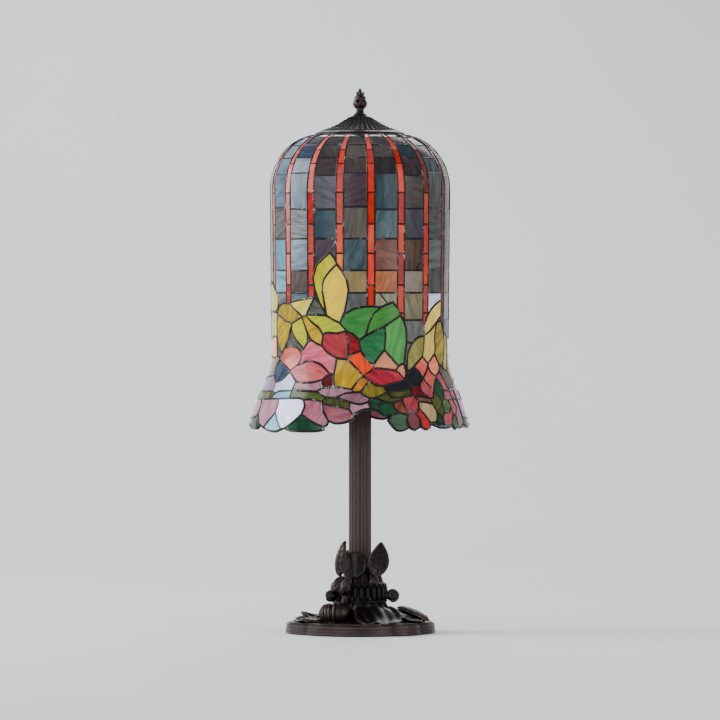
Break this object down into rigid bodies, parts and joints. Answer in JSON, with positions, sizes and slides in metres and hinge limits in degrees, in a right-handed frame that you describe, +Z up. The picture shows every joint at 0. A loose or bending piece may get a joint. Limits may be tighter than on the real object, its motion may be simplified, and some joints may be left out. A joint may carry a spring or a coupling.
{
  "type": "table lamp",
  "caption": "Leaded-glass table lamp: a water-lily bell shade on a reeded bronze stem that rises from a sculpted lily-pad base, with pull-chain lamp holders inside.",
  "frame": {"origin": "centre of the underside of the felt pad, where the lamp rests", "axes": "+Z up along the stem; -Y is the front, which faces the viewer; +X to the viewer's right"},
  "size_m": [0.3206, 0.3172, 0.787],
  "materials": {
    "felt": "matt green felt",
    "bronze": "dark brown bronze patina, satin, rubbed lighter on raised edges",
    "cast_iron": "rough cast",
    "zinc": "zinc plated",
    "black_plastic": "matt black",
    "brass": "aged satin brass",
    "card": "pressed fibre",
    "phenolic": "moulded",
    "bulb_cap": "rolled thread",
    "bulb_glass": "frosted white",
    "solder": "black patinated solder, glossy, bright where rubbed",
    "ribbon_glass": "orange-red opalescent sheet glass",
    "tile_glass": "streaky slate blue and brown opalescent sheet glass",
    "green_glass": "streaky leaf-green opalescent sheet glass",
    "yellow_glass": "yellow and yellow-green opalescent sheet glass",
    "pink_glass": "rose and mauve opalescent sheet glass",
    "red_glass": "red and coral opalescent sheet glass",
    "pale_glass": "white, cream and pale blue opalescent sheet glass",
    "olive_glass": "olive and ochre opalescent sheet glass",
    "shadow_glass": "dark slate opalescent sheet glass"
  },
  "bodies": {
    "stand": {"felt_pad": "felt", "base_plate": "bronze", "base_weight": "cast_iron", "base_washer": "zinc", "base_nut": "zinc", "cord_bushing": "black_plastic", "lily_mound": "bronze", "lily_pads": "bronze", "pointed_leaves": "bronze", "lotus_buds": "bronze", "reeded_collar": "bronze", "stem": "bronze", "stem_foot_ring": "bronze", "stem_cap": "bronze", "lamp_pipe": "zinc", "finial_stud": "brass", "cluster_body": "brass", "socket_left": "brass", "socket_right": "brass", "liner_left": "card", "liner_right": "card", "contact_left": "phenolic", "contact_right": "phenolic", "wheel_nuts": "zinc"},
    "bulb_left": {"bulb_base_left": "bulb_cap", "bulb_glass_left": "bulb_glass"},
    "bulb_right": {"bulb_base_right": "bulb_cap", "bulb_glass_right": "bulb_glass"},
    "chain_left": {"pull_chain_left": "brass"},
    "chain_right": {"pull_chain_right": "brass"},
    "wheel": {"shade_wheel": "brass"},
    "shade": {"shade_ring": "brass", "came_drum": "solder", "came_front": "solder", "came_back": "solder", "ribbon_glass": "ribbon_glass", "dome_tile_glass": "tile_glass", "drum_tile_glass": "tile_glass", "green_leaf_glass": "green_glass", "yellow_leaf_glass": "yellow_glass", "pink_petal_glass": "pink_glass", "red_petal_glass": "red_glass", "pale_petal_glass": "pale_glass", "olive_band_glass": "olive_glass", "shadow_glass": "shadow_glass"},
    "cap": {"vent_cap": "bronze", "cap_washer": "brass"},
    "finial": {"finial": "bronze"}
  },
  "joints": [
    {"name": "shade_turn", "type": "hinge", "parent": "stand", "child": "wheel", "pos_m": [0, 0, 0.7105], "axis": [0, 0, 1], "continuous": true},
    {"name": "shade_lift", "type": "slide", "parent": "wheel", "child": "shade", "axis": [0, 0, 1], "range_m": [0, 0.12]},
    {"name": "cap_lift", "type": "slide", "parent": "shade", "child": "cap", "axis": [0, 0, 1], "range_m": [0, 0.04]},
    {"name": "finial_turn", "type": "hinge", "parent": "cap", "child": "finial", "pos_m": [0, 0, 0.756], "axis": [0, 0, 1], "continuous": true},
    {"name": "bulb_left_turn", "type": "hinge", "parent": "stand", "child": "bulb_left", "pos_m": [-0.024, 0, 0.492], "axis": [-0.5299, 0, 0.848], "continuous": true},
    {"name": "bulb_right_turn", "type": "hinge", "parent": "stand", "child": "bulb_right", "pos_m": [0.024, 0, 0.492], "axis": [0.5299, 0, 0.848], "continuous": true},
    {"name": "pull_left", "type": "slide", "parent": "stand", "child": "chain_left", "axis": [0, 0, -1], "range_m": [0, 0.008], "stiffness_N_per_m": 400},
    {"name": "pull_right", "type": "slide", "parent": "stand", "child": "chain_right", "axis": [0, 0, -1], "range_m": [0, 0.008], "stiffness_N_per_m": 400}
  ]
}
